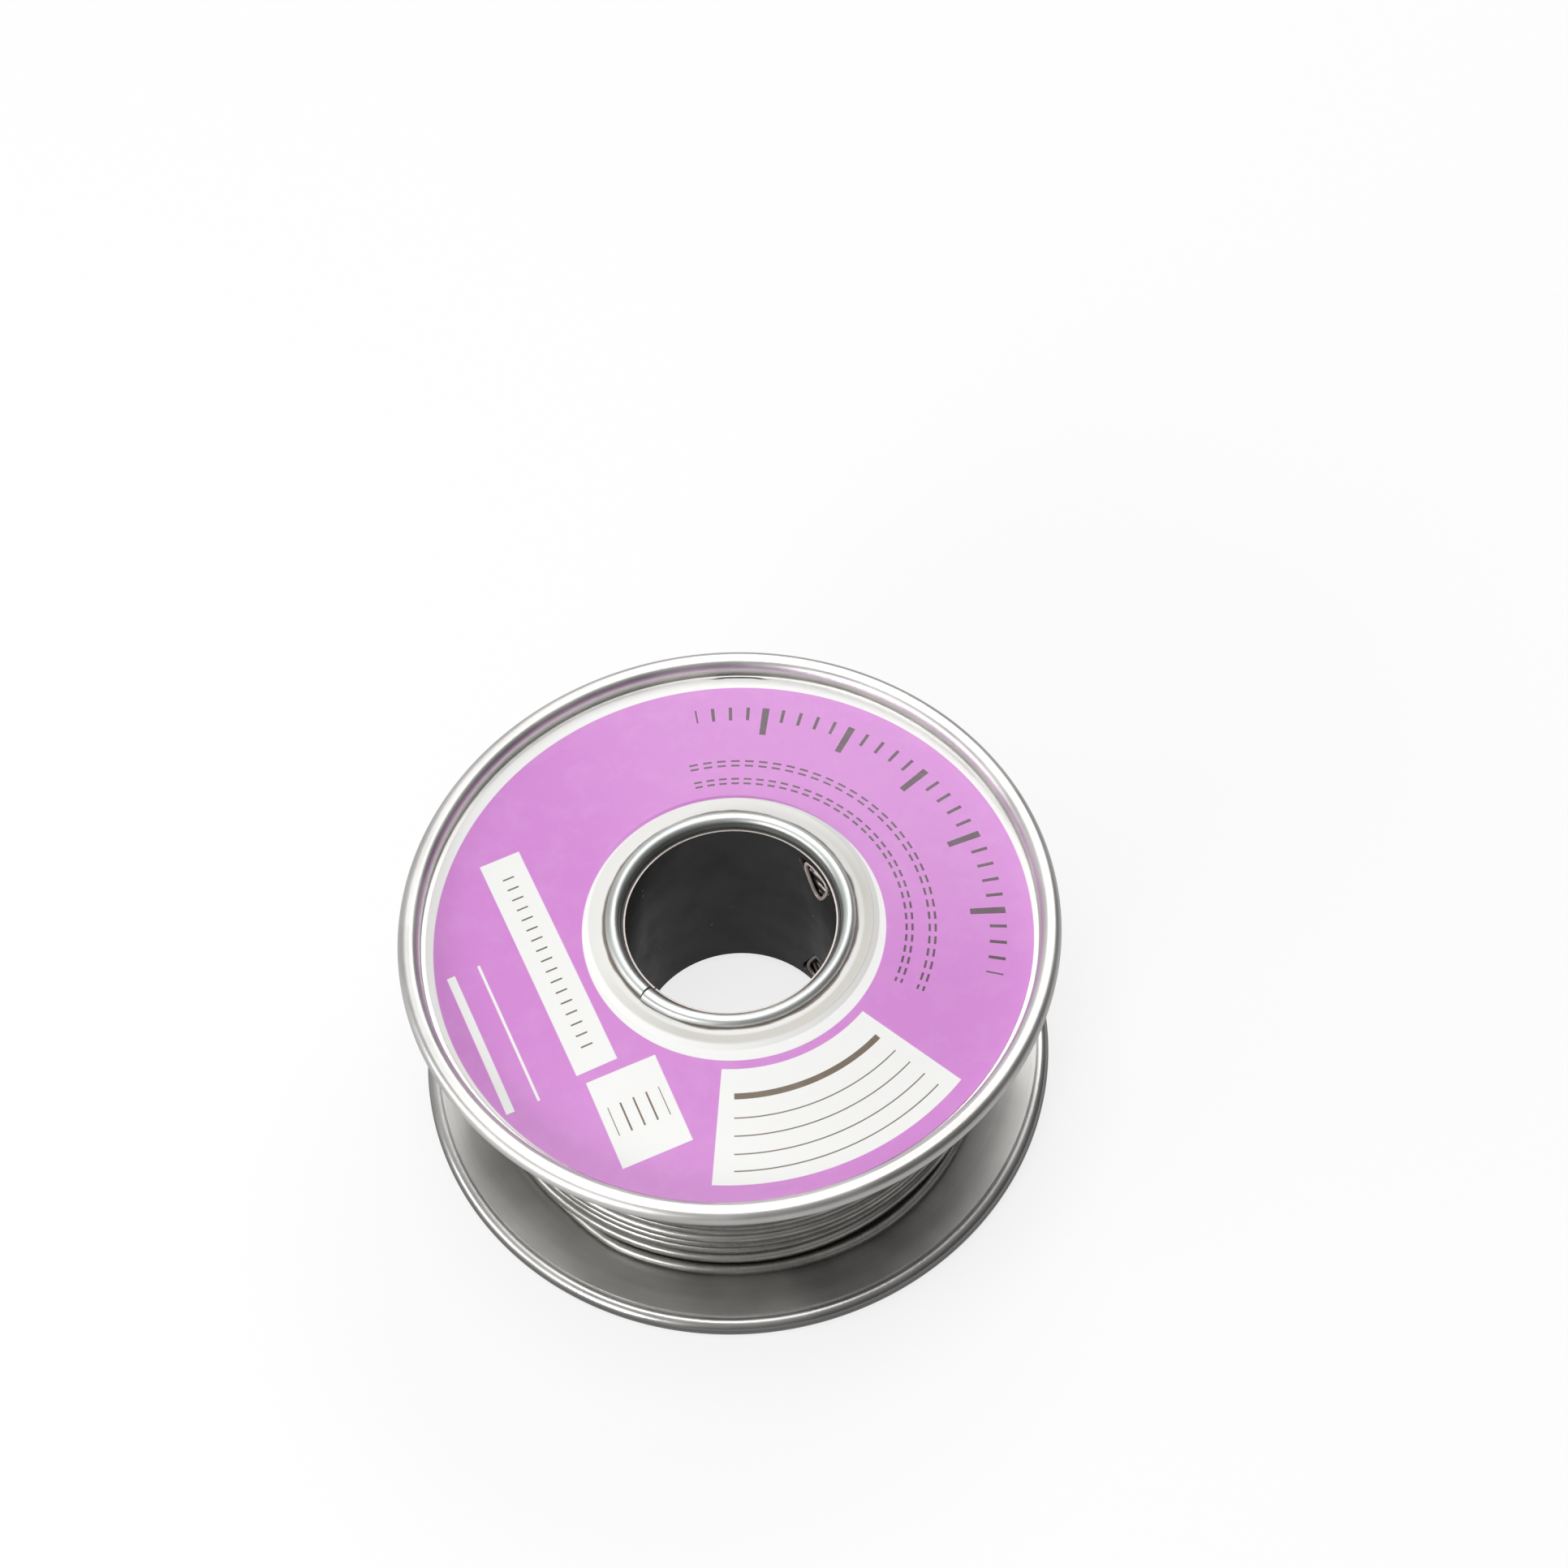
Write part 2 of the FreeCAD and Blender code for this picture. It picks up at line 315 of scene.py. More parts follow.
def tin_plate(name, base, rough, tint, bead_shading=0.0):
    """Tinned sheet: soft clouds, faint turned streaks, specks of dust, and painted shade on the
    beads where they face up too little.
    """
    material, tree, shader = new_material(name)
    place = millimetres(tree)
    x, y, z = split(tree, place)
    radius = radius_at(tree, x, y)
    clouds = noise(tree, place, scale=0.16, detail=4.0)
    across, around_axis = times(tree, radius, streaks_across), angle_at(tree, x, y)
    turned = {0: across, 1: times(tree, around_axis, streaks_round), 2: z}
    streaks = noise(tree, add(tree, "CombineXYZ", turned), scale=1.0)
    grain = noise(tree, place, scale=6.0, detail=4.0, rough=0.6)

    streaked = times(tree, streaks, 1 - cloud_share)
    shade = plus(tree, times(tree, clouds, cloud_share), streaked)
    shade = ramp(tree, shade, 0.38, 0.62, 0.0, 1.0)
    colour = mix(tree, shade, tinted(base * darker, tint), tinted(base * lighter, tint))
    specks = dots(tree, place, scale=0.4, size=0.07)
    colour = mix(tree, times(tree, specks, dust_cover), colour, dust)
    bead_in_r = rim_r - 2 * bead_r
    # painted shade: a bead darkens where it faces up less than its limit, the lower bead almost
    # everywhere
    on_bead = ramp(tree, radius, bead_in_r + bead_foot[0], bead_in_r + bead_foot[1], 0.0, bead_shading)
    high = calc(tree, "GREATER_THAN", z, mid_z)
    shade_limit = ramp(tree, high, 0.0, 1.0, lower_shade_below, upper_shade_below)
    turned_away = minus(tree, shade_limit, facing_up(tree))
    bead_shade_mask = times(tree, ramp(tree, turned_away, 0.0, 0.6, 0.1, 1.0), on_bead)
    colour = mix(tree, bead_shade_mask, colour, tinted(shade_level, tint))
    put(tree, shader.inputs["Base Color"], colour)
    shader.inputs["Metallic"].default_value = 1.0

    low_bead = times(tree, on_bead, minus(tree, 1.0, high))
    gloss = ramp(tree, low_bead, 0.0, 1.0, 1.0, lower_gloss)
    rough_here = ramp(tree, clouds, 0.35, 0.65, rough * smoother, rough * rougher)
    put(tree, shader.inputs["Roughness"], times(tree, rough_here, gloss))
    grain_here = times(tree, grain, ramp(tree, on_bead, 0.0, 0.5, 0.1, 0.0))
    relief = plus(tree, times(tree, clouds, 3.0), grain_here)
    bumped(tree, shader, relief, distance_mm=0.01, strength=0.16)
    return material


inner_side = -0.6  # a face that looks outwards less than this is the tube's inside
cut_side = 0.3  # and one that looks out or in by less than this is a cut edge
end_deep = 0.05  # what lies nearer to the tube's end than this counts as its end
raw_edge = (0.47, 0.41, 0.385, 1)
# the lips' pale colours are partly raw metal and partly a painted highlight
raw_dark, raw_highlight = (0.5, 0.4, 0.36, 1), (0.85, 0.74, 0.7, 1)
black_deep, black_pale = (0.014, 0.016, 0.016, 1), (0.026, 0.027, 0.026, 1)
speck_grey = (0.4, 0.42, 0.4, 1)
shaded_from_r = 8.12  # the tube's end is painted dark from here out, as painted shade in the gap under the collar


def dark_core():
    """The rolled core: near-black satin inside, raw bright metal at its cut edges, but painted
    black as shade where its end lies in the gap under the collar.
    """
    material, tree, shader = new_material("dark_core")
    place = millimetres(tree)
    facing = add(tree, "NewGeometry", {}, output="True Normal")
    flat = add(tree, "VectorMath", {0: place, 1: (1, 1, 0)}, operation="MULTIPLY")
    outward = add(tree, "VectorMath", {0: flat}, operation="NORMALIZE")
    inside = dot(tree, facing, outward)
    x, y, z = split(tree, place)
    lacquer_and_gap_shade = calc(tree, "LESS_THAN", inside, inner_side)
    cut_face = calc(tree, "LESS_THAN", calc(tree, "ABSOLUTE", inside), cut_side)
    from_mid = calc(tree, "ABSOLUTE", minus(tree, z, mid_z))
    short_of_end = between(tree, from_mid, 0.0, tube_top_z - mid_z - end_deep, 0.01)
    # painted shade: the end's cut face out in the gap takes the lacquer's black
    far_out = calc(tree, "GREATER_THAN", radius_at(tree, x, y), shaded_from_r)
    gap_shade = times(tree, cut_face, far_out)
    gap_shade = times(tree, gap_shade, minus(tree, 1.0, short_of_end))
    lacquer_and_gap_shade = most(tree, lacquer_and_gap_shade, gap_shade)
    clouds = noise(tree, place, scale=0.4, detail=4.0)
    black = mix(tree, clouds, black_deep, black_pale)
    black = mix(tree, dots(tree, place, scale=0.6, size=0.085), black, speck_grey)
    put(tree, shader.inputs["Base Color"], mix(tree, lacquer_and_gap_shade, raw_edge, black))
    put(tree, shader.inputs["Metallic"], ramp(tree, lacquer_and_gap_shade, 0.0, 1.0, 1.0, 0.0))
    put(tree, shader.inputs["Roughness"], ramp(tree, clouds, 0.3, 0.7, 0.3, 0.45))
    grain = noise(tree, place, scale=5.0, detail=5.0, rough=0.6)
    bumped(tree, shader, grain, distance_mm=0.01, strength=0.6)
    return material


def raw_metal():
    """The raw metal of the windows' burred lips, pale and little metallic as a painted highlight
    of the light they catch.
    """
    material, tree, shader = new_material("raw_edges")
    marks = noise(tree, millimetres(tree), scale=3.0)
    put(tree, shader.inputs["Base Color"], mix(tree, marks, raw_dark, raw_highlight))
    shader.inputs["Metallic"].default_value = 0.25
    put(tree, shader.inputs["Roughness"], ramp(tree, marks, 0.3, 0.7, 0.3, 0.45))
    bumped(tree, shader, marks, distance_mm=0.02, strength=0.4)
    return material


solder_dull, solder_light = (0.22, 0.212, 0.196, 1), (0.62, 0.607, 0.58, 1)
solder_shade = (0.07, 0.066, 0.06, 1)
side_shade_cover = 0.72  # of painted shade on the wire's sides, fading towards its top
tone_round, tone_up = 1.3, 0.95  # how fast the tone changes round and up the winding


def solder_metal():
    """Drawn solder: satin grey, different from turn to turn, with marks and painted shade on its
    sides.
    """
    material, tree, shader = new_material("solder")
    place = millimetres(tree)
    clouds = noise(tree, place, scale=0.5, detail=4.0, rough=0.6)
    marks = noise(tree, place, scale=6.0, detail=4.0, rough=0.65)
    shade = plus(tree, times(tree, clouds, 0.6), times(tree, marks, 0.4))
    x, y, z = split(tree, place)
    turned = times(tree, angle_at(tree, x, y), tone_round)
    along_turn = {0: turned, 1: times(tree, z, tone_up)}
    by_turn = noise(tree, add(tree, "CombineXYZ", along_turn), scale=1.0, detail=1.0)
    tone = plus(tree, times(tree, shade, 0.5), times(tree, by_turn, 0.5))
    tone = ramp(tree, tone, 0.35, 0.65, 0.0, 1.0)
    colour = mix(tree, tone, solder_dull, solder_light)
    # painted shade: darker where the wire faces up less
    side_shade = ramp(tree, facing_up(tree), 0.0, 0.7, side_shade_cover, 0.0)
    put(tree, shader.inputs["Base Color"], mix(tree, side_shade, colour, solder_shade))
    shader.inputs["Metallic"].default_value = 1.0
    put(tree, shader.inputs["Roughness"], ramp(tree, shade, 0.35, 0.65, 0.4, 0.27))
    bumped(tree, shader, marks, distance_mm=0.012, strength=0.35)
    return material


amber_deep, amber_pale = (0.5, 0.27, 0.05, 1), (0.72, 0.47, 0.14, 1)


def flux_amber():
    material, tree, shader = new_material("flux")
    clouds = noise(tree, millimetres(tree), scale=8.0)
    put(tree, shader.inputs["Base Color"], mix(tree, clouds, amber_deep, amber_pale))
    shader.inputs["Roughness"].default_value = 0.2
    return material


# The printed label: arcs are measured from the print's own centre, boxes, painted shade and grime
# from the axis
print_shift = (0.26, -0.59)
print_in_r = 11.46
print_out_r = 22.64
white = (0.86, 0.86, 0.84, 1)
orchid = (0.62, 0.225, 0.62, 1)
ink = (0.09, 0.05, 0.07, 1)
rule_grey = (0.16, 0.12, 0.08, 1)
edge_soft = 0.03
line_soft = 0.02
ring_soft, plateau_soft, step_shade_soft = 0.035, 0.08, 0.1
turn_soft = 0.1  # degrees

sector_in_r, sector_out_r = 12.14, 21.15
sector_from, sector_to = -95.3, -39.7
rules_from, rules_to = -91.0, -43.5
bold_rule_r, bold_half_wide = 14.3, 0.24
rule_radii, rule_half_wide = (16.0, 17.4, 18.8, 20.1), 0.05
long_panel = dict(centre=(-13.81, -2.84), turn=-67.1, half_long=9.98, half_wide=1.6)
small_panel = dict(centre=(-6.85, -15.69), turn=-68.3, half_long=3.68, half_wide=2.69)
long_strokes = dict(half_long=8.6, length=0.9)
small_strokes = dict(half_long=2.0, length=2.4)
stroke_half_wide = 0.07
bars_centre = (-17.6, -9.2)
bars_across = (0.92, 0.39)  # the way across the two white bars
bars_turn = -67.1
bar_half_long = 6.2
wide_bar, narrow_bar = (-1.0, 0.32), (1.2, 0.1)  # how far across, and half width

tick_step = 4.0  # degrees
long_tick_every = 5.0
ticks_from, ticks_to = -14.0, 98.0
tick_out_r = 20.6
tick_in_r, long_tick_in_r = 19.3, 17.9
tick_half_wide, long_tick_half_wide = 0.13, 0.27
tick_mid_r = 19.5  # where the ticks have these widths
dashes_from, dashes_to = -24.0, 104.0
dashes_per_degree = 0.24
dash_share = 0.62
dash_radii = (13.0, 13.45, 14.75, 15.2)
dash_half_wide = 0.09

grime_and_shade_r = (9.58, 9.7)  # the collar's grime and painted shadow end between these radii of the reel
# a dark line at the collar's edge: partly grime, partly painted contact shadow
grime_and_shade, grime_and_shade_cover = (0.1, 0.065, 0.04, 1), 0.92
plateau_r = (9.0, 10.72)
# the plateau's grey is painted shade
plateau_shade_grey, plateau_shade_cover = (0.66, 0.64, 0.6, 1), 0.3
step_shade_r = (10.08, 10.78)
step_shade_side = (0.64, -0.77, 0)  # the way to the side of the plateau's edge where the painted shade is darkest
step_shade_grey, step_shade_cover = (0.56, 0.545, 0.49, 1), 0.85
mottle_pale, mottle_cover = (0.95, 0.8, 0.93, 1), 0.07


def in_box(tree, x, y, centre, turn, half_long, half_wide):
    """1 inside a box that is turned by so many degrees, and the places along and across it."""
    a = math.radians(turn)
    dx, dy = minus(tree, x, centre[0]), minus(tree, y, centre[1])
    along = plus(tree, times(tree, dx, math.cos(a)), times(tree, dy, math.sin(a)))
    across = minus(tree, times(tree, dy, math.cos(a)), times(tree, dx, math.sin(a)))
    inside_long = between(tree, along, -half_long, half_long, edge_soft)
    inside_wide = between(tree, across, -half_wide, half_wide, edge_soft)
    return times(tree, inside_long, inside_wide), along, across


def scale_marks(tree, along, across, half_long, length):
    """Strokes 1 mm apart, like those of a ruler, in a row."""
    step = calc(tree, "FRACT", plus(tree, along, 0.5))
    beside = calc(tree, "ABSOLUTE", minus(tree, step, 0.5))
    stroke = calc(tree, "LESS_THAN", beside, stroke_half_wide)
    inside = between(tree, along, -half_long, half_long, line_soft)
    rows = between(tree, across, -length / 2, length / 2, line_soft)
    return times(tree, stroke, times(tree, inside, rows))


def with_panels(tree, colour, x, y, radius, degrees):
    """White panels with thin rules and strokes, and two white bars."""
    sector = between(tree, degrees, sector_from, sector_to, turn_soft)
    sector = times(tree, between(tree, radius, sector_in_r, sector_out_r, edge_soft), sector)
    long_box, long_along, long_across = in_box(tree, x, y, **long_panel)
    small_box, small_along, small_across = in_box(tree, x, y, **small_panel)
    panels = most(tree, sector, most(tree, long_box, small_box))
    colour = mix(tree, panels, colour, white)
    ruled = between(tree, degrees, rules_from, rules_to, turn_soft)
    rules = [(bold_rule_r, bold_half_wide)] + [(r, rule_half_wide) for r in rule_radii]
    for r, half in rules:
        rule = times(tree, between(tree, radius, r - half, r + half, line_soft), ruled)
        colour = mix(tree, rule, colour, rule_grey)
    for strokes in (
        scale_marks(tree, long_along, long_across, **long_strokes),
        scale_marks(tree, small_across, small_along, **small_strokes),
    ):
        colour = mix(tree, strokes, colour, rule_grey)
    for at, half in (wide_bar, narrow_bar):
        centre = [bars_centre[i] + bars_across[i] * at for i in (0, 1)]
        bar, _, _ = in_box(tree, x, y, centre, bars_turn, bar_half_long, half)
        colour = mix(tree, bar, colour, white)
    return colour


def scale_ticks(tree, radius, degrees):
    """A scale of ticks round the right-hand side, each fifth one longer and bolder."""
    turn = calc(tree, "DIVIDE", plus(tree, degrees, 180.0), tick_step)
    offset = calc(tree, "ABSOLUTE", minus(tree, calc(tree, "FRACT", turn), 0.5))
    beside = times(tree, offset, tick_step * math.pi / 180 * tick_mid_r)
    number = calc(tree, "MODULO", calc(tree, "FLOOR", turn), long_tick_every)
    is_long = calc(tree, "LESS_THAN", number, 0.5)
    in_r = ramp(tree, is_long, 0.0, 1.0, tick_in_r, long_tick_in_r)
    half_wide = ramp(tree, is_long, 0.0, 1.0, tick_half_wide, long_tick_half_wide)
    span = between(tree, degrees, ticks_from, ticks_to, turn_soft)
    span = times(tree, span, calc(tree, "LESS_THAN", radius, tick_out_r))
    span = times(tree, span, calc(tree, "GREATER_THAN", radius, in_r))
    return times(tree, calc(tree, "LESS_THAN", beside, half_wide), span)


def dashed_arcs(tree, radius, degrees):
    """The rows of dashes inside the ticks, one for each arc."""
    dash = calc(tree, "FRACT", times(tree, degrees, dashes_per_degree))
    dash = calc(tree, "LESS_THAN", dash, dash_share)
    dash = times(tree, dash, between(tree, degrees, dashes_from, dashes_to, 2 * turn_soft))
    rows = []
    for r in dash_radii:
        row = between(tree, radius, r - dash_half_wide, r + dash_half_wide, line_soft)
        rows.append(times(tree, row, dash))
    return rows


def with_shade_and_grime(tree, colour, place, reel_r):
    """A grey plateau and a greyer band round its edge at one side, both painted shade, and a dark
    line where the collar pinches the paper, partly grime and partly painted shadow.
    """
    uneven = noise(tree, place, scale=0.35, detail=2.0)
    dirty_and_shaded_r = ramp(tree, uneven, 0.35, 0.65, grime_and_shade_r[0], grime_and_shade_r[1])
    dirty_and_shaded = ramp(tree, minus(tree, reel_r, dirty_and_shaded_r), -0.04, 0.1, 1.0, 0.0)
    # painted shade over the hub's plateau
    plateau = between(tree, reel_r, plateau_r[0], plateau_r[1], plateau_soft)
    colour = mix(tree, times(tree, plateau, plateau_shade_cover), colour, plateau_shade_grey)
    # painted shade on the plateau's edge, darkest at one side
    step_shade = calc(tree, "DIVIDE", dot(tree, place, step_shade_side), reel_r)
    step_shade = ramp(tree, step_shade, -0.3, 0.5, 0.0, step_shade_cover)
    edge = between(tree, reel_r, step_shade_r[0], step_shade_r[1], step_shade_soft)
    step_shade = times(tree, edge, step_shade)
    colour = mix(tree, step_shade, colour, step_shade_grey)
    return mix(tree, times(tree, dirty_and_shaded, grime_and_shade_cover), colour, grime_and_shade)


def printed_paper():
    """Coated white paper with an orchid ring, white panels and plain ticks."""
    material, tree, shader = new_material("printed_paper")
    place = millimetres(tree)
    x, y, _ = split(tree, place)
    shift = {0: place, 1: print_shift + (0,)}
    print_x, print_y, _ = split(tree, add(tree, "VectorMath", shift, operation="SUBTRACT"))
    radius = radius_at(tree, print_x, print_y)
    degrees = times(tree, angle_at(tree, print_x, print_y), 180 / math.pi)
    ring = between(tree, radius, print_in_r, print_out_r, ring_soft)
    colour = mix(tree, ring, white, orchid)
    colour = with_panels(tree, colour, x, y, radius, degrees)
    marks = scale_ticks(tree, radius, degrees)
    for row in dashed_arcs(tree, radius, degrees):
        marks = most(tree, marks, row)
    colour = mix(tree, marks, colour, ink)
    colour = with_shade_and_grime(tree, colour, place, radius_at(tree, x, y))
    mottle = noise(tree, place, scale=0.5, detail=4.0, rough=0.6)
    pale = ramp(tree, mottle, 0.45, 0.8, 0.0, mottle_cover)
    colour = mix(tree, pale, colour, mottle_pale)
    put(tree, shader.inputs["Base Color"], colour)
    put(tree, shader.inputs["Roughness"], ramp(tree, mottle, 0.3, 0.7, 0.38, 0.5))
    shader.inputs["Specular IOR Level"].default_value = 0.25
    shader.inputs["Coat Weight"].default_value = 0.65
    shader.inputs["Coat Roughness"].default_value = 0.2
    swell = times(tree, noise(tree, place, scale=0.28, detail=2.0), 6.0)
    relief = plus(tree, swell, noise(tree, place, scale=7.0, detail=4.0))
    bumped(tree, shader, relief, distance_mm=0.012, strength=0.4)
    return material


tin = tin_plate("tinned_sheet", base=0.68, rough=0.4, tint=(1.015, 1.0, 0.975), bead_shading=0.85)
bright = tin_plate("bright_collar", base=0.64, rough=0.42, tint=(0.97, 1.01, 0.98))
dark = dark_core()
raw = raw_metal()
solder = solder_metal()
amber = flux_amber()
label_paper = printed_paper()


def dress(node, material):
    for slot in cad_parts[node].material_slots:
        slot.material = material


dress("core_tube", dark)
dress("paper_label", label_paper)
dress("solder_first_end", solder)
dress("flux_core", amber)


# Pressed flanges, the solids' shape with a tight bend and a closed curl at the rim
rim_sheet = 0.22
bend_r = 0.1
curl_in = 1.0  # the curl closes on the back of the face so far in from the rim
curl_notch = (0.03, 0.05)  # how the curl's end meets the face's back: inwards and up
bend_step = 30
bead_step = 7.5
flange_steps = 288
slot_r = rim_r - 2.23
slot_half_wide = 0.6
sliver = 0.03  # half the width, where it is closed, of the strip that the slot is cut from


def flange_outline(slot_half):
    """The upper flange's section, with a strip of the face round the slot's line."""
    back_end_r = rim_r - curl_in
    bend_mid = (rim_r - 2 * bead_r - bend_r, face_z + bend_r)
    bead_mid = (rim_r - bead_r, top_z - bead_r + land)
    strip = [slot_r - slot_half, min(slot_r + slot_half, bend_mid[0] - sliver)]
    face = [(r, face_z + over_face(r)) for r in [hole_r, step_in_r, step_out_r] + strip]
    closed_at = math.degrees(math.acos((back_end_r - bead_mid[0]) / bead_r))
    outer = arc(bend_mid, bend_r, -90, 0, bend_step)
    outer += arc(bead_mid, bead_r, 180, -closed_at, bead_step)
    back = [(back_end_r, face_z - rim_sheet + curl_notch[1])]
    back += [(back_end_r - curl_notch[0], face_z - rim_sheet)]
    back += [(r, z - rim_sheet) for r, z in reversed(face)]
    return [(r, min(z, top_z)) for r, z in face + outer + back]


def flange_mesh(lower):
    """Vertices and faces of a flange, open at its slot."""
    steps = flange_steps
    reach = slot_half_long / slot_r
    turns = [2 * math.pi * i / steps for i in range(steps)]
    past = [(a - math.radians(slot_angle) + math.pi) % (2 * math.pi) - math.pi for a in turns]
    halves = [max(sliver, slot_half_wide * (1 - (p / reach) ** 2)) for p in past]
    outlines = [flange_outline(half) for half in halves]
    n = len(outlines[0])
    # the outline's points at the strip's edges, on the face and on its back
    top_low, top_high, back_high, back_low = 3, 4, n - 5, n - 4
    vertices = []
    for a, outline in zip(turns, outlines):
        for r, z in outline:
            vertices.append((r * math.cos(a), r * math.sin(a), 2 * mid_z - z if lower else z))
    is_open = [abs(p + math.pi / steps) < reach for p in past]
    faces = []
    for i in range(steps):
        a, b = i * n, (i + 1) % steps * n
        for k in range(n):
            j = (k + 1) % n
            if is_open[i] and k in (top_low, back_high):
                continue
            faces.append((a + k, b + k, b + j, a + j))
        if is_open[i]:
            sides = ((top_low, back_low), (top_high, back_high))
            faces += [(a + k, b + k, b + j, a + j) for k, j in sides]
        if is_open[i] != is_open[i - 1]:
            faces.append((a + top_low, a + top_high, a + back_high, a + back_low))
    return vertices, faces


# Rolled collars, each with its ends a little out of line at the seam
collar_mid_r = 8.93
collar_curl_r = 0.55
collar_sheet = 0.25
collar_foot = 0.95
collar_fit = 0.02  # between the tube and the collar's neck
collar_gap = 0.01  # between the curl and the paper under it
foot_gap = 0.02  # between the foot and the flange over it
collar_steps = 240
curl_step, hollow_step = 7.5, 15
seam_gap = 0.17
seam_fade = 34.0  # degrees over which the ends come into line
seam_out = (0.13, -0.05)  # how far the first and the last end stand out
seam_up = (0.06, 0.02)  # and up
wave, waves_round, wave_phase = 0.015, 3, 1  # unevenness round the curl
ripple, ripples_round = 0.004, 8
wave_lift = 0.5  # share of it that lifts the curl
curl_free = 0.1  # the curl follows these from so far outside the tube


def collar_outline():
    """The upper collar's section: its curl, its neck in the hole and its foot under the flange."""
    curl_z = face_z + over_face(collar_mid_r + collar_curl_r) + paper + collar_gap
    foot_z = face_z + hub_in - sheet - foot_gap
    hollow_r = collar_curl_r - collar_sheet
    neck_r, neck_out_r = tube_r + collar_fit, collar_mid_r - hollow_r
    foot_r = neck_out_r + collar_foot
    curl = arc((collar_mid_r, curl_z), collar_curl_r, 180, 0, curl_step)
    curl += arc((collar_mid_r, curl_z), hollow_r, 0, 180, hollow_step)
    foot = [(neck_out_r, foot_z), (foot_r, foot_z), (foot_r, foot_z - collar_sheet)]
    return curl + foot + [(neck_r, foot_z - collar_sheet), (neck_r, foot_z)]


def collar_mesh(lower):
    steps = collar_steps
    gap = math.degrees(seam_gap / collar_mid_r)
    outline = collar_outline()
    n = len(outline)
    vertices = []
    for i in range(steps + 1):
        past = gap / 2 + (360 - gap) * i / steps
        a = math.radians(seam_angle + past)
        begin, end = 1 - eased(past / seam_fade), 1 - eased((360 - past) / seam_fade)
        waves = wave * math.sin(waves_round * a + wave_phase)
        waves += ripple * math.sin(ripples_round * a)
        out = seam_out[0] * begin + seam_out[1] * end + waves
        up = seam_up[0] * begin + seam_up[1] * end + wave_lift * abs(waves)
        for r, z in outline:
            free = float(np.clip((r - tube_r - curl_free) / (collar_mid_r - tube_r), 0, 1))
            free *= z > face_z + hub_in
            r, z = r + out * free, z + up * free
            vertices.append((r * math.cos(a), r * math.sin(a), 2 * mid_z - z if lower else z))
    faces = [tuple(range(n)), tuple(steps * n + k for k in range(n))]
    for i in range(steps):
        a, b = i * n, (i + 1) * n
        faces += [(a + k, b + k, b + (k + 1) % n, a + (k + 1) % n) for k in range(n)]
    return vertices, faces


for lower, side in ((False, "upper"), (True, "lower")):
    flange = mesh_piece(side + "_rolled_flange", *flange_mesh(lower), tin, "tinned_sheet")
    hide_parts(side + "_flange")
    collar = mesh_piece(side + "_rolled_collar", *collar_mesh(lower), bright, "bright_collar")
    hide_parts(side + "_hub_collar")


# The burred lips of the core's two three-cornered windows
window_in = 0.75  # from the tube's end to the window's wide side
window_deep = 3.75
window_half_wide = 2.2
lip_r = 0.15
lip_inset = 0.2  # the lip's line lies so far inside the tube's outer surface
corner_in = 0.3  # the lip's corners lie so far in from the window's
tip_past = 0.9  # and its tip so far past the window's, before it is rounded
tip_cut = 0.46  # share of a side that the tip's rounding takes
wide_cut = 0.36  # and that of the other two corners
lip_steps = 12
lip_sides = 10


def lip_line():
    """A rounded triangle inside the upper window: places round the tube and heights."""
    high = tube_top_z - window_in - lip_r
    half = window_half_wide - corner_in
    corners = [(-half, high), (half, high), (0.0, high - window_deep - tip_past)]
    line = []
    for k in range(3):
        a, b, c = corners[k - 1], corners[k], corners[(k + 1) % 3]
        cut = tip_cut if k == 2 else wide_cut
        near = [b[i] + cut * (a[i] - b[i]) for i in (0, 1)]
        far = [b[i] + cut * (c[i] - b[i]) for i in (0, 1)]
        for t in np.linspace(0, 1, lip_steps):
            p, q, r = (1 - t) ** 2, 2 * t * (1 - t), t * t
            line.append([p * near[i] + q * b[i] + r * far[i] for i in (0, 1)])
        following = tip_cut if k == 1 else wide_cut
        end = [c[i] + following * (b[i] - c[i]) for i in (0, 1)]
        for t in np.linspace(0, 1, lip_steps)[1:-1]:
            line.append([far[i] + t * (end[i] - far[i]) for i in (0, 1)])
    return np.array(line + line[:2])


def around(radii, heights, angles):
    """Points at these radii, heights and angles in degrees."""
    a = np.radians(angles)
    return np.stack([radii * np.cos(a), radii * np.sin(a), heights], 1)


for lower, side in ((False, "upper"), (True, "lower")):
    places, heights = lip_line().T
    angles = np.degrees(places / tube_r) + window_angle
    heights = 2 * mid_z - heights if lower else heights
    lip = around(tube_r - lip_inset, heights, angles)
    mesh_piece(side + "_window_lip", *tube_mesh(lip, lip_r, lip_sides), raw, "dark_core")


# The winding. The hidden layers cross, and the outer layer lies over them.
turn_steps = 96
outer_sides, hidden_sides = 16, 12
core_out_r = 16.72  # the plain core under the wound layers
core_steps = 180
drawn = np.random.default_rng(7)


def wander(turns, size, per_turn):
    """A smooth drift along the wire, in millimetres, through so many random values a turn."""
    knots = drawn.normal(0, size, int(turns * per_turn) + 4)
    x = np.linspace(1, len(knots) - 3, int(turns * turn_steps))
    i = x.astype(int)
    f = x - i
    a, b, c, d = knots[i - 1], knots[i], knots[i + 1], knots[i + 2]
    values = 2 * b + (c - a) * f
    values += (2 * a - 5 * b + 4 * c - d) * f**2
    values += (3 * b - a - 3 * c + d) * f**3
    return 0.5 * values


hidden_short = 0.9  # the hidden layers end so far short of the flanges
under_drift, under_drifts = 0.1, 1.5  # size, and random values a turn
under_sway, under_sways = 0.012, 2.3  # unevenness of the spread, and its waves in a layer
sway_start = 0.2  # of a wave
under_turns = 14
under_r = (17.3, 18.2)  # radii of the two hidden layers, which set how wide they lie
under_uneven = (0.3, 0.5)


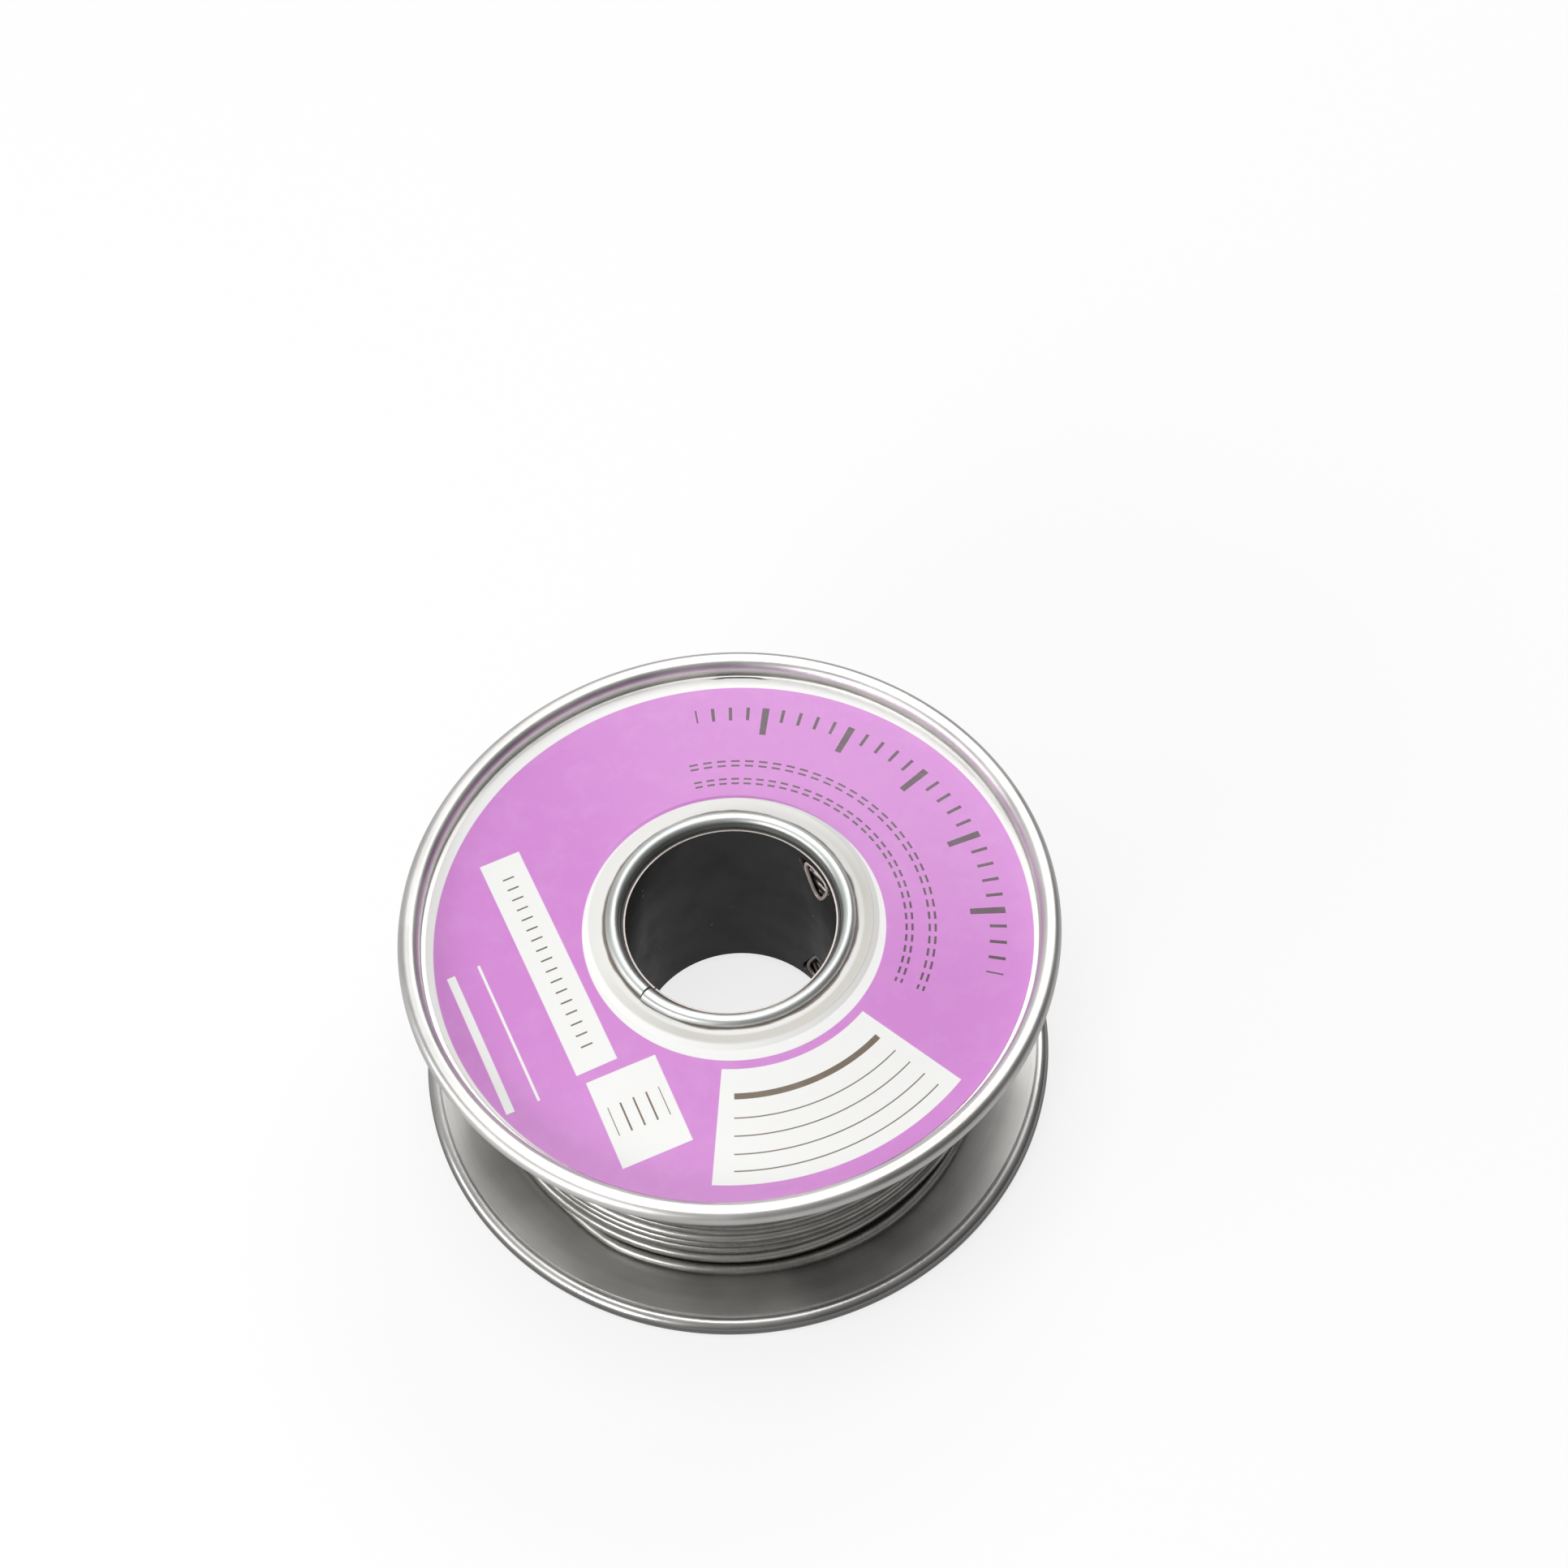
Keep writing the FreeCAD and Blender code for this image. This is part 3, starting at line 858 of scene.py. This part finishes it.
def layer_heights(turns, going_up, radius, uneven):
    """Heights of the wire over one hidden layer, from flange to flange."""
    reach = under_flange(radius) - wire_r - hidden_short - mid_z
    t = np.linspace(0, 1, turns * turn_steps, endpoint=False)
    sign = 1 if going_up else -1
    sway = np.sin(2 * math.pi * (t * under_sways + sway_start))
    spread = t + uneven * under_sway * sway * np.sin(math.pi * t)
    heights = mid_z + sign * reach * (2 * spread - 1)
    heights += wander(turns, uneven * under_drift, under_drifts) * np.sin(math.pi * t) ** 0.5
    return np.clip(heights, mid_z - reach, mid_z + reach)


turn_r = turn_out_r - wire_r
leave_angle = slot_angle - lead_turn
outer_turns = 15
row_pitch = 1.04
step_from = 0.8  # the part of a turn after which it climbs
upper_from = 0.8  # rows over the lowest turn, from where the turns lie unevenly
hollow = 0.2  # how far the wall of turns is drawn in at most
hollow_z, hollow_spread = 5, 4  # height of its middle over the lowest turn, and its reach
part_angle = -38.0  # where the lowest turns have drawn apart
part_spread = 32.0
part_lift = 0.8
part_sink = 0.35
part_sink_reach = 2.5  # the turns are drawn in to about this height over the lowest
drift = 0.07
drifts_up, drifts_out = 2.2, 2.6  # random values a turn
lowest_r = 19.75  # the lowest turn lies further in than the others
lowest_out = 0.67  # but for where it stands out in front
out_from, out_rise = -135, 20  # degrees
out_to, out_fall = -20, 45
begin_r = 18.6  # the layer's first turn comes up from under it
begin_turn = 0.3


def beside_parting(angles):
    """1 at the side of the reel where the lowest turns have drawn apart."""
    beside = (angles - part_angle + 180) % 360 - 180
    return np.exp(-((beside / part_spread) ** 2))


def outer_layer(turns):
    """Heights, radii and angles of the outer layer, whose turns lie level and then climb."""
    left = np.arange(turns * turn_steps - 1, -1, -1) / turn_steps
    angles = leave_angle - 360 * left
    rows = np.floor(left) + eased((left % 1 - step_from) / (1 - step_from))
    upper = eased(rows / upper_from)
    over_low = row_pitch * rows
    lift = part_lift * upper * (1 - rows / turns)
    heights = turn_low_z + wire_r + over_low + lift * beside_parting(angles)
    heights += wander(turns, drift, drifts_up) * upper
    radii = turn_r - hollow * np.exp(-(((over_low - hollow_z) / hollow_spread) ** 2))
    sunk = part_sink * beside_parting(angles) * upper
    radii -= sunk * np.exp(-over_low / part_sink_reach)
    radii += wander(turns, drift, drifts_out) * upper
    stands_out = lowest_out * eased((angles - out_from) / out_rise)
    lowest = lowest_r + stands_out * eased((out_to - angles) / out_fall)
    radii += (lowest - radii) * (1 - upper)
    radii -= (turn_r - begin_r) * (1 - eased((turns - left) / begin_turn))
    return heights, radii, angles


longest_span = 3  # radians: a straight stretch of wire stays under half a turn


def taut(radii):
    """A tight loop over supports of these radii: its outline is their convex hull."""
    n = len(radii)
    step = 2 * math.pi / n
    first = int(np.argmax(radii))
    r = np.roll(radii, -first)
    r = np.append(r, r[0])
    kept = [0]
    for i in range(1, n + 1):
        while len(kept) > 1:
            a, b = kept[-2], kept[-1]
            chord = r[a] * r[i] * math.sin((i - a) * step)
            chord /= r[a] * math.sin((b - a) * step) + r[i] * math.sin((i - b) * step)
            if r[b] > chord or (i - a) * step > longest_span:
                break
            kept.pop()
        kept.append(i)
    out = np.empty(n + 1)
    for a, b in zip(kept, kept[1:]):
        k = np.arange(a, b + 1)
        under = r[a] * np.sin((k - a) * step) + r[b] * np.sin((b - k) * step)
        out[k] = r[a] * r[b] * math.sin((b - a) * step) / under
    return np.roll(out[:n], first)


def wind(heights, floor_r):
    """Radii of the wire's centre, turn by turn. Each turn lies on what is there already."""
    turns = len(heights) // turn_steps
    z = heights[: turns * turn_steps].reshape(turns, turn_steps)
    r = np.zeros_like(z)
    for k in range(turns):
        support = np.full(turn_steps, floor_r + wire_r)
        for j in range(k):
            gap = np.abs(z[k] - z[j])
            near = gap < 2 * wire_r
            lift = np.sqrt(np.maximum(0, (2 * wire_r) ** 2 - gap**2))
            support = np.where(near, np.maximum(support, r[j] + lift), support)
        r[k] = taut(support)
    return r.reshape(-1)


def softened(values, width):
    """A moving average that keeps the ends."""
    padded = np.concatenate([np.full(width, values[0]), values, np.full(width, values[-1])])
    weights = np.hanning(2 * width + 3)[1:-1]
    return np.convolve(padded, weights / weights.sum(), "valid")


def solder_piece(name, line, sides, node):
    """A length of the wire along a line, in place of a solid."""
    piece = mesh_piece(name, *tube_mesh(line, wire_r, sides), solder, "solder")
    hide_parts(node)


under_soft = 2  # steps each way over which the hidden layers' radii are averaged

heights, radii, angles = outer_layer(outer_turns)
low_r, high_r = under_r
down = layer_heights(under_turns, False, low_r, under_uneven[0])
up = layer_heights(under_turns, True, high_r, under_uneven[1])
under_heights = np.concatenate([down, up])
under_radii = softened(wind(under_heights, core_out_r), under_soft)
under_steps = np.arange(len(under_heights)) - len(under_heights)
under_line = around(under_radii, under_heights, angles[0] + 360 * under_steps / turn_steps)
solder_piece("solder_under_layers", under_line, hidden_sides, "solder_inner_layers")
over_line = around(radii, heights, angles)
solder_piece("solder_top_turns", over_line, outer_sides, "solder_outer_turns")

core_in_gap = 0.12  # the plain core begins so far outside the tube and one wire's thickness
core_short = 0.1  # between the plain core and the flanges
core_in_r = tube_r + 2 * wire_r + core_in_gap
core_radii = (core_in_r, core_out_r)
core_half = [(r, under_flange(max(r, step_out_r)) - core_short) for r in core_radii]
core_outline = core_half + [(r, 2 * mid_z - z) for r, z in reversed(core_half)]
core_mesh = lathe_mesh(core_outline, core_steps)
core_piece = mesh_piece("solder_hidden_layers", *core_mesh, solder, "solder")
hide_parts("solder_inner_layers")

# The first layer, which shows in the core's windows
first_z = 3.06  # height of its lowest point's middle
first_gap = 0.03  # between its turns, and under them as well as the usual gap
first_past = 26.5  # it begins so far past the window
first_angle = window_angle + first_past
first_pitch = 2 * wire_r + first_gap
first_turns = int((2 * mid_z - 2 * first_z) / first_pitch)
first_steps = np.arange(first_turns * turn_steps)
first_r = np.full(len(first_steps), tube_r + pack_gap + wire_r + first_gap)
first_heights = first_z + first_pitch * first_steps / turn_steps
first_line = around(first_r, first_heights, first_angle + 360 * first_steps / turn_steps)
solder_piece("solder_first_layer", first_line, hidden_sides, "solder_inner_layers")

# The free end goes on from the last turn, down its slot and into the recess
drop_turn = 10.8  # degrees over which it drops through the slot
settle_turn = 30  # and over which it comes down to the flange
slot_room = 0.1  # between the wire and the sheet, on both sides
tuck = 0.4  # it bends back in by this much past the slot
tuck_turn = 10
free_steps = 120


def free_end_line():
    beyond = np.linspace(-lead_turn, tail_turn, free_steps)
    past = beyond + lead_turn
    start_r, start_z = radii[-1], heights[-1]
    inside_z = 2 * mid_z - under_flange(slot_r) + wire_r + slot_room
    outside_z = 2 * mid_z - face_z - wire_r - slot_room
    radius = start_r + (slot_r - start_r) * eased(past / (lead_turn - drop_turn / 2))
    radius = radius - tuck * eased((beyond - 1) / tuck_turn)
    z = start_z + (inside_z - start_z) * eased(past / settle_turn)
    z = z + (outside_z - inside_z) * eased(beyond / drop_turn + 0.5)
    return around(radius, z, slot_angle + beyond)


solder_piece("solder_end_through_slot", free_end_line(), outer_sides, "solder_free_end")


# Floor, light and camera
floor_half = 3.0  # metres
floor_seen = (0.95, 0.95, 0.95, 1)
floor_lighting = (0.5, 0.5, 0.5, 1)  # for the light that it throws on the reel
lift_from, lift_to = 150.0, 650.0  # millimetres from the reel's axis
lift_near, lift_far = 0.78, 1.0  # how much of the floor's white is its own
floor_mirrored = 0.25


def mirror_ray(tree, path):
    return most(tree, path.outputs["Is Glossy Ray"], path.outputs["Is Transmission Ray"])


def make_floor():
    signs = ((-1, -1), (1, -1), (1, 1), (-1, 1))
    mesh = bpy.data.meshes.new("floor")
    mesh.from_pydata([(floor_half * x, floor_half * y, 0) for x, y in signs], [], [(0, 1, 2, 3)])
    floor = bpy.data.objects.new("floor", mesh)
    bpy.context.collection.objects.link(floor)
    material, tree, shader = new_material("floor")
    shader.inputs["Roughness"].default_value = 0.9
    shader.inputs["Specular IOR Level"].default_value = 0.1
    white_light = add(tree, "Emission", {"Color": (1, 1, 1, 1), "Strength": 1.0})
    path = tree.nodes.new("ShaderNodeLightPath")
    seen = path.outputs["Is Camera Ray"]
    put(tree, shader.inputs["Base Color"], mix(tree, seen, floor_lighting, floor_seen))
    x, y, _ = split(tree, millimetres(tree))
    reach = radius_at(tree, x, y)
    lifted = times(tree, seen, ramp(tree, reach, lift_from, lift_to, lift_near, lift_far))
    lifted = most(tree, lifted, times(tree, mirror_ray(tree, path), floor_mirrored))
    both = add(tree, "MixShader", {0: lifted, 1: shader.outputs[0], 2: white_light})
    put(tree, tree.nodes["Material Output"].inputs["Surface"], both)
    mesh.materials.append(material)


sky_low, sky_high = 0.1, 0.36
sky_left, sky_right = 1.35, 0.5  # times this much at each side
white_behind = 0.7
behind_left, behind_right = 1.2, 0.25


def make_world():
    """A soft sky, brighter at the left, with white behind the reel for its metal to mirror."""
    world = bpy.data.worlds.new("studio")
    bpy.context.scene.world = world
    world.use_nodes = True
    tree = world.node_tree
    x, y, z = split(tree, add(tree, "TexCoord", {}, output="Generated"))
    sky = ramp(tree, z, 0.0, 0.8, sky_low, sky_high)
    sky = times(tree, sky, ramp(tree, x, -0.8, 0.8, sky_left, sky_right))
    colour = add(tree, "CombineColor", {0: sky, 1: sky, 2: sky})
    path = tree.nodes.new("ShaderNodeLightPath")
    behind = ramp(tree, y, 0.1, 0.9, 0.0, white_behind)
    behind = times(tree, behind, ramp(tree, x, -0.4, 0.4, behind_left, behind_right))
    mirrored = times(tree, mirror_ray(tree, path), behind)
    shown = most(tree, path.outputs["Is Camera Ray"], mirrored)
    back = tree.nodes["Background"]
    put(tree, back.inputs["Color"], mix(tree, shown, colour, (1, 1, 1, 1)))
    back.inputs["Strength"].default_value = 1.0


lamp_target = (0, 0, 0.01)


def soft_box(name, place, size, power):
    """A rectangular lamp that faces the reel: place and size in metres, power in watts."""
    light = bpy.data.lights.new(name, "AREA")
    light.shape = "RECTANGLE"
    light.size, light.size_y = size
    light.energy = power
    lamp = bpy.data.objects.new(name, light)
    bpy.context.collection.objects.link(lamp)
    lamp.location = place
    towards = Vector(lamp_target) - Vector(place)
    lamp.rotation_euler = towards.to_track_quat("-Z", "Y").to_euler()


def make_camera():
    camera = bpy.data.cameras.new("camera")
    camera.sensor_width = sensor_mm
    camera.lens = focal_px / photo_px * sensor_mm
    camera.shift_x = 0.5 - principal_px[0] / photo_px
    camera.shift_y = principal_px[1] / photo_px - 0.5
    camera.clip_start = 0.01
    seen = bpy.data.objects.new("camera", camera)
    bpy.context.collection.objects.link(seen)
    roll = Matrix.Rotation(math.radians(camera_roll), 3, "Z")
    tilt = Matrix.Rotation(math.pi - math.radians(camera_tilt), 3, "X")
    look = roll @ tilt @ Matrix.Rotation(math.radians(camera_turn), 3, "Z")
    label_z = (face_z + paper) * MM
    place = look.transposed() @ (-camera_offset * rim_r * MM) + Vector((0, 0, label_z))
    turned = (look.transposed() @ Matrix.Diagonal((1, -1, -1))).to_4x4()
    seen.matrix_world = Matrix.Translation(place) @ turned
    bpy.context.scene.camera = seen


make_floor()
make_world()
soft_box("key", (-0.05, 0.02, 0.65), (0.38, 0.38), 1.75)
soft_box("back", (0.137, 0.377, 0.446), (0.44, 0.21), 0.95)
soft_box("front", (-0.3, -0.36, 0.18), (0.16, 0.14), 0.9)
soft_box("side", (-0.5, -0.12, 0.16), (0.3, 0.2), 0.7)
make_camera()
bpy.context.scene.view_settings.view_transform = "Standard"
